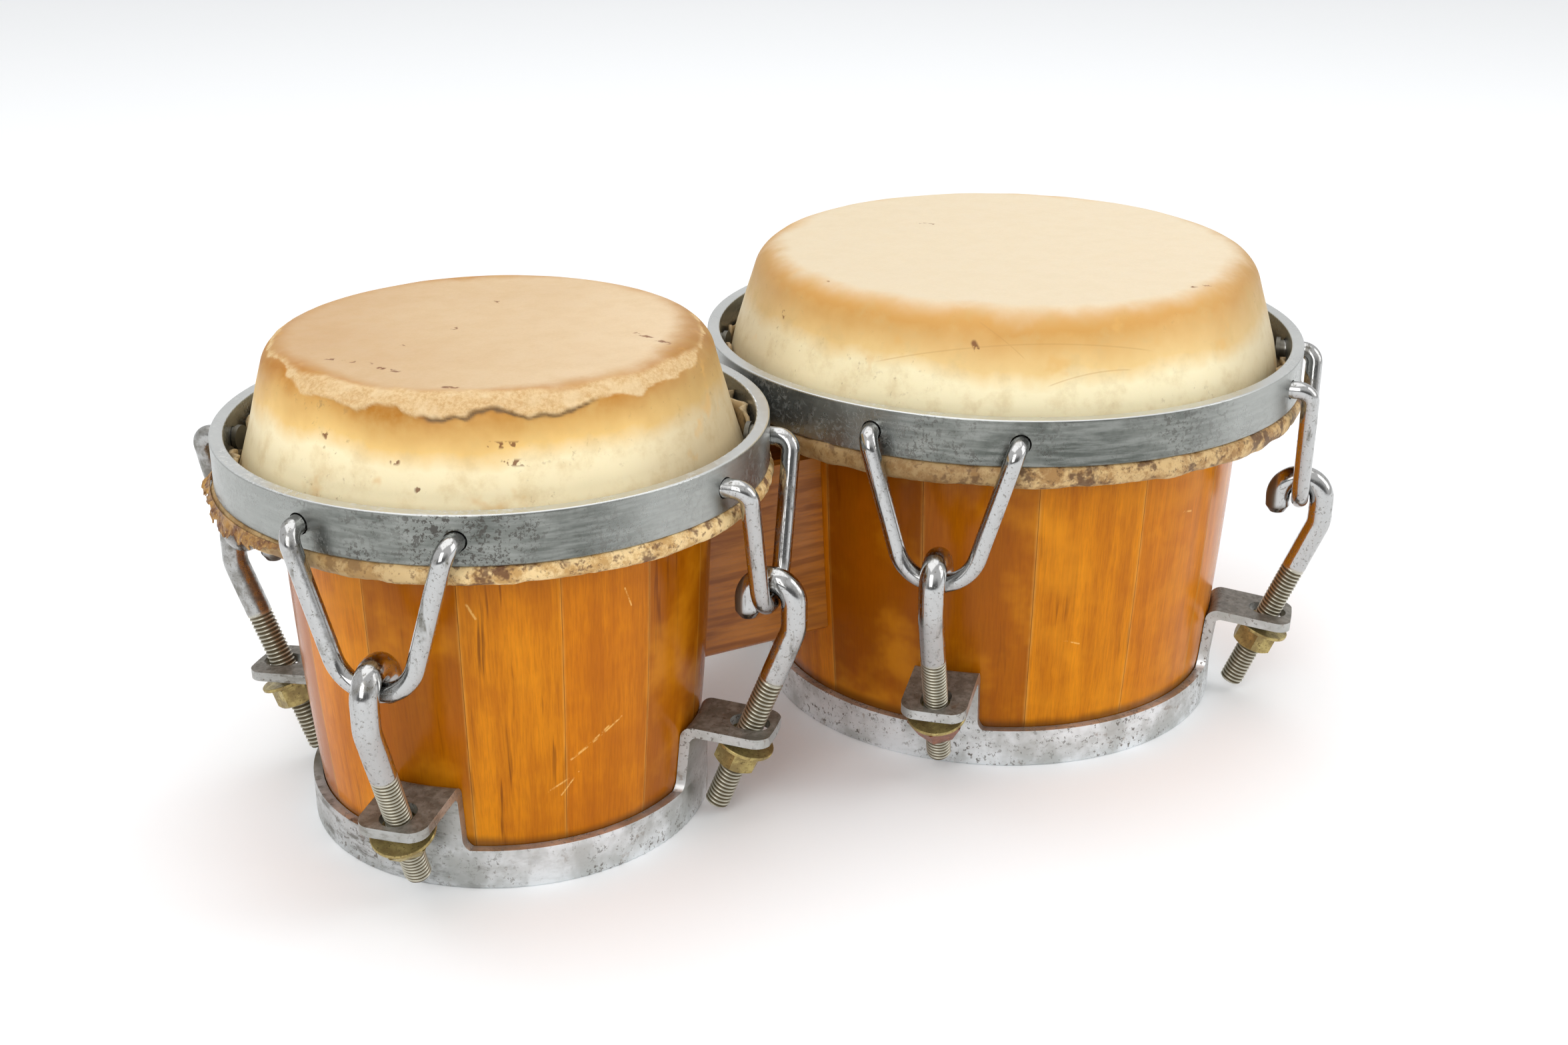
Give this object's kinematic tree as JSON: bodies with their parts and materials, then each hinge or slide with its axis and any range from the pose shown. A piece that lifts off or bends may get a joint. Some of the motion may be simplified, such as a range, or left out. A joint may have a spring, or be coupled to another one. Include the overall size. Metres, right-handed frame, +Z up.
{
  "type": "bongo drums",
  "caption": "A small and a large hand drum with tapered wooden shells, rawhide heads and tuning hardware, joined side by side by a wooden bridge block.",
  "frame": {"origin": "on the floor, under the middle of the pair's bounding box", "axes": "+Z up, +X from the small drum to the large drum, the hardware is symmetric about the XZ plane"},
  "size_m": [0.4302, 0.236, 0.181],
  "materials": {
    "varnished_wood": "glossy amber varnish on wood staves, fine upright grain, pale joints",
    "bridge_wood": "semi-gloss reddish brown varnish",
    "worn_rawhide": "matt, worn and scuffed at the edge, darker band below it",
    "pale_rawhide": "smooth, matt, translucent look, orange brown band at the edge",
    "bright_chrome": "bright, with light grime",
    "aged_chrome": "aged, grey, dark pits",
    "dull_metal": "dull grey, speckled",
    "hoop_steel": "plain",
    "yellow_brass": "dull, yellow green, aged",
    "rusty_nut": "rusted"
  },
  "bodies": {
    "root": {"small_shell": "varnished_wood", "small_skin": "worn_rawhide", "small_flesh_hoop": "hoop_steel", "small_base_ring": "dull_metal", "small_lug_washers": "yellow_brass", "large_shell": "varnished_wood", "large_skin": "pale_rawhide", "large_flesh_hoop": "hoop_steel", "large_base_ring": "dull_metal", "large_lug_washers": "yellow_brass", "bridge_block": "bridge_wood", "bridge_bolts": "hoop_steel", "bridge_washers": "yellow_brass", "bridge_nuts": "yellow_brass"},
    "small_rim": {"small_rim": "aged_chrome"},
    "small_v_loop_1": {"small_v_loop_1": "bright_chrome"},
    "small_hook_bolt_1": {"small_hook_bolt_1": "bright_chrome"},
    "small_nut_1": {"small_nut_1": "yellow_brass"},
    "small_v_loop_2": {"small_v_loop_2": "bright_chrome"},
    "small_hook_bolt_2": {"small_hook_bolt_2": "bright_chrome"},
    "small_nut_2": {"small_nut_2": "yellow_brass"},
    "small_v_loop_3": {"small_v_loop_3": "bright_chrome"},
    "small_hook_bolt_3": {"small_hook_bolt_3": "bright_chrome"},
    "small_nut_3": {"small_nut_3": "yellow_brass"},
    "small_v_loop_4": {"small_v_loop_4": "bright_chrome"},
    "small_hook_bolt_4": {"small_hook_bolt_4": "bright_chrome"},
    "small_nut_4": {"small_nut_4": "yellow_brass"},
    "large_rim": {"large_rim": "aged_chrome"},
    "large_v_loop_1": {"large_v_loop_1": "bright_chrome"},
    "large_hook_bolt_1": {"large_hook_bolt_1": "bright_chrome"},
    "large_nut_1": {"large_nut_1": "yellow_brass"},
    "large_v_loop_2": {"large_v_loop_2": "bright_chrome"},
    "large_hook_bolt_2": {"large_hook_bolt_2": "bright_chrome"},
    "large_nut_2": {"large_nut_2": "yellow_brass"},
    "large_v_loop_3": {"large_v_loop_3": "bright_chrome"},
    "large_hook_bolt_3": {"large_hook_bolt_3": "bright_chrome"},
    "large_nut_3": {"large_nut_3": "rusty_nut"},
    "large_v_loop_4": {"large_v_loop_4": "bright_chrome"},
    "large_hook_bolt_4": {"large_hook_bolt_4": "bright_chrome"},
    "large_nut_4": {"large_nut_4": "yellow_brass"}
  },
  "joints": [
    {"name": "small_rim_slide", "type": "slide", "parent": "root", "child": "small_rim", "axis": [0, 0, 1], "range_m": [0, 0.007]},
    {"name": "small_v_loop_1_swing", "type": "hinge", "parent": "small_rim", "child": "small_v_loop_1", "pos_m": [-0.05465, 0.0635, 0.1388], "axis": [0.7071, -0.7071, 0], "range_deg": [0, 3.44]},
    {"name": "small_hook_bolt_1_slide", "type": "slide", "parent": "root", "child": "small_hook_bolt_1", "axis": [0.2596, 0.2596, 0.9302], "range_m": [0, 0.00826]},
    {"name": "small_nut_1_turn", "type": "hinge", "parent": "root", "child": "small_nut_1", "pos_m": [-0.05274, 0.06541, 0.03734], "axis": [0.2596, 0.2596, 0.9302], "range_deg": [0, 1873.96]},
    {"name": "small_v_loop_2_swing", "type": "hinge", "parent": "small_rim", "child": "small_v_loop_2", "pos_m": [-0.18165, 0.0635, 0.1388], "axis": [0.7071, 0.7071, 0], "range_deg": [0, 3.44]},
    {"name": "small_hook_bolt_2_slide", "type": "slide", "parent": "root", "child": "small_hook_bolt_2", "axis": [-0.2596, 0.2596, 0.9302], "range_m": [0, 0.00826]},
    {"name": "small_nut_2_turn", "type": "hinge", "parent": "root", "child": "small_nut_2", "pos_m": [-0.18356, 0.06541, 0.03734], "axis": [-0.2596, 0.2596, 0.9302], "range_deg": [0, 1873.96]},
    {"name": "small_v_loop_3_swing", "type": "hinge", "parent": "small_rim", "child": "small_v_loop_3", "pos_m": [-0.18165, -0.0635, 0.1388], "axis": [-0.7071, 0.7071, 0], "range_deg": [0, 3.44]},
    {"name": "small_hook_bolt_3_slide", "type": "slide", "parent": "root", "child": "small_hook_bolt_3", "axis": [-0.2596, -0.2596, 0.9302], "range_m": [0, 0.00826]},
    {"name": "small_nut_3_turn", "type": "hinge", "parent": "root", "child": "small_nut_3", "pos_m": [-0.18356, -0.06541, 0.03734], "axis": [-0.2596, -0.2596, 0.9302], "range_deg": [0, 1873.96]},
    {"name": "small_v_loop_4_swing", "type": "hinge", "parent": "small_rim", "child": "small_v_loop_4", "pos_m": [-0.05465, -0.0635, 0.1388], "axis": [-0.7071, -0.7071, 0], "range_deg": [0, 3.44]},
    {"name": "small_hook_bolt_4_slide", "type": "slide", "parent": "root", "child": "small_hook_bolt_4", "axis": [0.2596, -0.2596, 0.9302], "range_m": [0, 0.00826]},
    {"name": "small_nut_4_turn", "type": "hinge", "parent": "root", "child": "small_nut_4", "pos_m": [-0.05274, -0.06541, 0.03734], "axis": [0.2596, -0.2596, 0.9302], "range_deg": [0, 1873.96]},
    {"name": "large_rim_slide", "type": "slide", "parent": "root", "child": "large_rim", "axis": [0, 0, 1], "range_m": [0, 0.007]},
    {"name": "large_v_loop_1_swing", "type": "hinge", "parent": "large_rim", "child": "large_v_loop_1", "pos_m": [0.176, 0.07885, 0.1398], "axis": [0.7071, -0.7071, 0], "range_deg": [0, 3.24]},
    {"name": "large_hook_bolt_1_slide", "type": "slide", "parent": "root", "child": "large_hook_bolt_1", "axis": [0.2526, 0.2526, 0.934], "range_m": [0, 0.00815]},
    {"name": "large_nut_1_turn", "type": "hinge", "parent": "root", "child": "large_nut_1", "pos_m": [0.17741, 0.08026, 0.03603], "axis": [0.2526, 0.2526, 0.934], "range_deg": [0, 1847.62]},
    {"name": "large_v_loop_2_swing", "type": "hinge", "parent": "large_rim", "child": "large_v_loop_2", "pos_m": [0.0183, 0.07885, 0.1398], "axis": [0.7071, 0.7071, 0], "range_deg": [0, 3.24]},
    {"name": "large_hook_bolt_2_slide", "type": "slide", "parent": "root", "child": "large_hook_bolt_2", "axis": [-0.2526, 0.2526, 0.934], "range_m": [0, 0.00815]},
    {"name": "large_nut_2_turn", "type": "hinge", "parent": "root", "child": "large_nut_2", "pos_m": [0.01689, 0.08026, 0.03603], "axis": [-0.2526, 0.2526, 0.934], "range_deg": [0, 1847.62]},
    {"name": "large_v_loop_3_swing", "type": "hinge", "parent": "large_rim", "child": "large_v_loop_3", "pos_m": [0.0183, -0.07885, 0.1398], "axis": [-0.7071, 0.7071, 0], "range_deg": [0, 3.24]},
    {"name": "large_hook_bolt_3_slide", "type": "slide", "parent": "root", "child": "large_hook_bolt_3", "axis": [-0.2526, -0.2526, 0.934], "range_m": [0, 0.00815]},
    {"name": "large_nut_3_turn", "type": "hinge", "parent": "root", "child": "large_nut_3", "pos_m": [0.01689, -0.08026, 0.03603], "axis": [-0.2526, -0.2526, 0.934], "range_deg": [0, 1847.62]},
    {"name": "large_v_loop_4_swing", "type": "hinge", "parent": "large_rim", "child": "large_v_loop_4", "pos_m": [0.176, -0.07885, 0.1398], "axis": [-0.7071, -0.7071, 0], "range_deg": [0, 3.24]},
    {"name": "large_hook_bolt_4_slide", "type": "slide", "parent": "root", "child": "large_hook_bolt_4", "axis": [0.2526, -0.2526, 0.934], "range_m": [0, 0.00815]},
    {"name": "large_nut_4_turn", "type": "hinge", "parent": "root", "child": "large_nut_4", "pos_m": [0.17741, -0.08026, 0.03603], "axis": [0.2526, -0.2526, 0.934], "range_deg": [0, 1847.62]}
  ],
  "couplings": [
    {"joint": "small_v_loop_1_swing", "follows": "small_rim_slide", "rad_per_m": 8.3818},
    {"joint": "small_hook_bolt_1_slide", "follows": "small_rim_slide", "ratio": 1.1688},
    {"joint": "small_nut_1_turn", "follows": "small_rim_slide", "rad_per_m": 4626.1},
    {"joint": "small_v_loop_2_swing", "follows": "small_rim_slide", "rad_per_m": 8.3818},
    {"joint": "small_hook_bolt_2_slide", "follows": "small_rim_slide", "ratio": 1.1688},
    {"joint": "small_nut_2_turn", "follows": "small_rim_slide", "rad_per_m": 4626.1},
    {"joint": "small_v_loop_3_swing", "follows": "small_rim_slide", "rad_per_m": 8.3818},
    {"joint": "small_hook_bolt_3_slide", "follows": "small_rim_slide", "ratio": 1.1688},
    {"joint": "small_nut_3_turn", "follows": "small_rim_slide", "rad_per_m": 4626.1},
    {"joint": "small_v_loop_4_swing", "follows": "small_rim_slide", "rad_per_m": 8.3818},
    {"joint": "small_hook_bolt_4_slide", "follows": "small_rim_slide", "ratio": 1.1688},
    {"joint": "small_nut_4_turn", "follows": "small_rim_slide", "rad_per_m": 4626.1},
    {"joint": "large_v_loop_1_swing", "follows": "large_rim_slide", "rad_per_m": 7.8863},
    {"joint": "large_hook_bolt_1_slide", "follows": "large_rim_slide", "ratio": 1.1524},
    {"joint": "large_nut_1_turn", "follows": "large_rim_slide", "rad_per_m": 4561.1},
    {"joint": "large_v_loop_2_swing", "follows": "large_rim_slide", "rad_per_m": 7.8863},
    {"joint": "large_hook_bolt_2_slide", "follows": "large_rim_slide", "ratio": 1.1524},
    {"joint": "large_nut_2_turn", "follows": "large_rim_slide", "rad_per_m": 4561.1},
    {"joint": "large_v_loop_3_swing", "follows": "large_rim_slide", "rad_per_m": 7.8863},
    {"joint": "large_hook_bolt_3_slide", "follows": "large_rim_slide", "ratio": 1.1524},
    {"joint": "large_nut_3_turn", "follows": "large_rim_slide", "rad_per_m": 4561.1},
    {"joint": "large_v_loop_4_swing", "follows": "large_rim_slide", "rad_per_m": 7.8863},
    {"joint": "large_hook_bolt_4_slide", "follows": "large_rim_slide", "ratio": 1.1524},
    {"joint": "large_nut_4_turn", "follows": "large_rim_slide", "rad_per_m": 4561.1}
  ]
}
